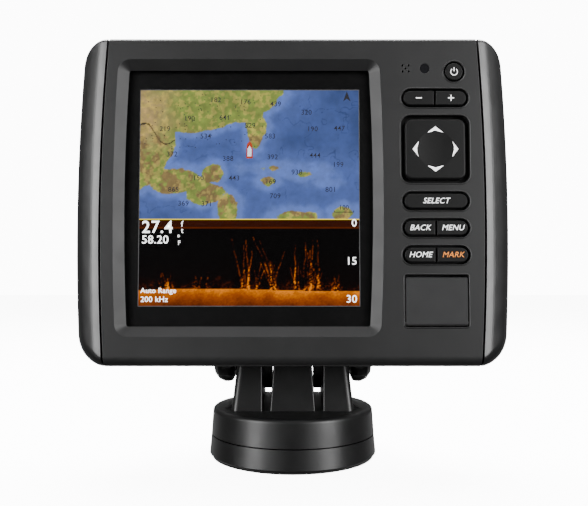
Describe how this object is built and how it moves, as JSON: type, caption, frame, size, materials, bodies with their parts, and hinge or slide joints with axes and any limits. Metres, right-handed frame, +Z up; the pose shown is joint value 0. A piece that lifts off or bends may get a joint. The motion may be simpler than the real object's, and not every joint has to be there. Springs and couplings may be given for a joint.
{
  "type": "fish finder",
  "caption": "Upright display head with a bowed case, keypad and card door, tilting between side knobs on a round swivel base that screws down.",
  "frame": {"origin": "centre of the base's underside, on the swivel axis and at the middle of the screw holes' circle", "axes": "+Z up along the swivel axis, the display faces -Y, +X is to the reader's right"},
  "size_m": [0.175, 0.0819, 0.1736],
  "materials": {
    "mount_plastic": "satin moulded",
    "rubber": "matte",
    "nylon": "satin",
    "steel": "satin",
    "brass": "turned brass",
    "gold": "plated",
    "socket_plastic": "satin",
    "latch_plastic": "satin",
    "case_plastic": "fine satin",
    "trim_plastic": "satin",
    "rear_plastic": "fine texture",
    "lens_glass": "clear",
    "display": "lit",
    "white_plastic": "matte",
    "tin": "bright",
    "key_rubber": "matte",
    "board": "solder mask",
    "smoked_window": "smoked",
    "door_rubber": "satin",
    "chip": "matte",
    "ceramic": "fired"
  },
  "bodies": {
    "base": {"base_plate": "mount_plastic", "base_pad": "rubber", "swivel_bush": "nylon"},
    "pedestal": {"pedestal": "mount_plastic", "swivel_washer": "steel", "swivel_screw": "steel"},
    "left_screw": {"left_knob_washer": "steel"},
    "left_knob": {"left_tilt_knob": "mount_plastic", "left_knob_stud": "steel"},
    "right_screw": {"right_knob_washer": "steel"},
    "right_knob": {"right_tilt_knob": "mount_plastic", "right_knob_stud": "steel"},
    "head": {"front_bezel": "case_plastic", "left_trim": "trim_plastic", "right_trim": "trim_plastic", "rear_case": "rear_plastic", "case_gasket": "rubber", "case_screws": "steel", "lens_adhesive": "rubber", "display_lens": "lens_glass", "lcd_panel": "display", "backlight": "white_plastic", "lcd_frame": "tin", "keypad_mat": "key_rubber", "key_domes": "tin", "keypad_board": "board", "sensor_window": "smoked_window", "beeper": "socket_plastic", "door_hinge_pin": "steel", "card_socket": "tin", "main_board": "board", "board_screws": "steel", "shield_cans": "tin", "board_components": "chip", "gps_antenna": "ceramic", "head_contact_block": "socket_plastic", "cradle_body": "mount_plastic", "tilt_inserts": "brass", "power_socket": "socket_plastic", "sonar_socket": "socket_plastic", "socket_pins": "gold", "connector_block": "socket_plastic", "contact_pins": "gold", "latch_pin": "steel", "latch_spring": "steel", "cradle_screws": "steel"},
    "pad_gimbal": {"pad_pivot": "nylon"},
    "direction_pad": {"direction_pad": "key_rubber"},
    "card_door": {"card_door": "door_rubber", "door_seal": "rubber"},
    "latch": {"latch_lever": "latch_plastic"},
    "plug_lock": {"connector_lock": "latch_plastic"},
    "power_key": {"power_key": "key_rubber"},
    "zoom_out_key": {"zoom_out_key": "key_rubber"},
    "zoom_in_key": {"zoom_in_key": "key_rubber"},
    "select_key": {"select_key": "key_rubber"},
    "back_key": {"back_key": "key_rubber"},
    "menu_key": {"menu_key": "key_rubber"},
    "home_key": {"home_key": "key_rubber"},
    "mark_key": {"mark_key": "key_rubber"}
  },
  "joints": [
    {"name": "swivel", "type": "hinge", "parent": "base", "child": "pedestal", "pos_m": [0, 0, 0], "axis": [0, 0, 1], "range_deg": [-90, 90]},
    {"name": "tilt", "type": "hinge", "parent": "pedestal", "child": "head", "pos_m": [0, 0, 0.0445], "axis": [-1, 0, 0], "range_deg": [-25, 40]},
    {"name": "left_knob_travel", "type": "slide", "parent": "pedestal", "child": "left_screw", "axis": [-1, 0, 0], "range_m": [0, 0.00187]},
    {"name": "left_knob_turn", "type": "hinge", "parent": "left_screw", "child": "left_knob", "pos_m": [0, 0, 0.0445], "axis": [-1, 0, 0], "range_deg": [0, 540]},
    {"name": "right_knob_travel", "type": "slide", "parent": "pedestal", "child": "right_screw", "axis": [1, 0, 0], "range_m": [0, 0.00187]},
    {"name": "right_knob_turn", "type": "hinge", "parent": "right_screw", "child": "right_knob", "pos_m": [0, 0, 0.0445], "axis": [1, 0, 0], "range_deg": [0, 540]},
    {"name": "pad_up_down", "type": "hinge", "parent": "head", "child": "pad_gimbal", "pos_m": [0.0563, -0.042, 0.1289], "axis": [1, 0, 0], "range_deg": [-2.5, 2.5], "stiffness_Nm_per_rad": 0.1},
    {"name": "pad_left_right", "type": "hinge", "parent": "pad_gimbal", "child": "direction_pad", "pos_m": [0.0563, -0.042, 0.1289], "axis": [0, 0, 1], "range_deg": [-2.5, 2.5], "stiffness_Nm_per_rad": 0.1},
    {"name": "card_door_hinge", "type": "hinge", "parent": "head", "child": "card_door", "pos_m": [0.0563, -0.0433, 0.0605], "axis": [1, 0, 0], "range_deg": [0, 95]},
    {"name": "latch_press", "type": "hinge", "parent": "head", "child": "latch", "pos_m": [0, -0.0004, 0.113], "axis": [1, 0, 0], "range_deg": [0, 9], "stiffness_Nm_per_rad": 0.15},
    {"name": "plug_lock_slide", "type": "slide", "parent": "head", "child": "plug_lock", "axis": [0, 0, -1], "range_m": [0, 0.0052]},
    {"name": "power_press", "type": "slide", "parent": "head", "child": "power_key", "axis": [0, 1, 0], "range_m": [0, 0.0007], "stiffness_N_per_m": 700},
    {"name": "zoom_out_press", "type": "slide", "parent": "head", "child": "zoom_out_key", "axis": [0, 1, 0], "range_m": [0, 0.0007], "stiffness_N_per_m": 700},
    {"name": "zoom_in_press", "type": "slide", "parent": "head", "child": "zoom_in_key", "axis": [0, 1, 0], "range_m": [0, 0.0007], "stiffness_N_per_m": 700},
    {"name": "select_press", "type": "slide", "parent": "head", "child": "select_key", "axis": [0, 1, 0], "range_m": [0, 0.0007], "stiffness_N_per_m": 700},
    {"name": "back_press", "type": "slide", "parent": "head", "child": "back_key", "axis": [0, 1, 0], "range_m": [0, 0.0007], "stiffness_N_per_m": 700},
    {"name": "menu_press", "type": "slide", "parent": "head", "child": "menu_key", "axis": [0, 1, 0], "range_m": [0, 0.0007], "stiffness_N_per_m": 700},
    {"name": "home_press", "type": "slide", "parent": "head", "child": "home_key", "axis": [0, 1, 0], "range_m": [0, 0.0007], "stiffness_N_per_m": 700},
    {"name": "mark_press", "type": "slide", "parent": "head", "child": "mark_key", "axis": [0, 1, 0], "range_m": [0, 0.0007], "stiffness_N_per_m": 700}
  ],
  "couplings": [
    {"joint": "left_knob_turn", "follows": "left_knob_travel", "rad_per_m": 5026.5},
    {"joint": "right_knob_turn", "follows": "right_knob_travel", "rad_per_m": 5026.5}
  ]
}
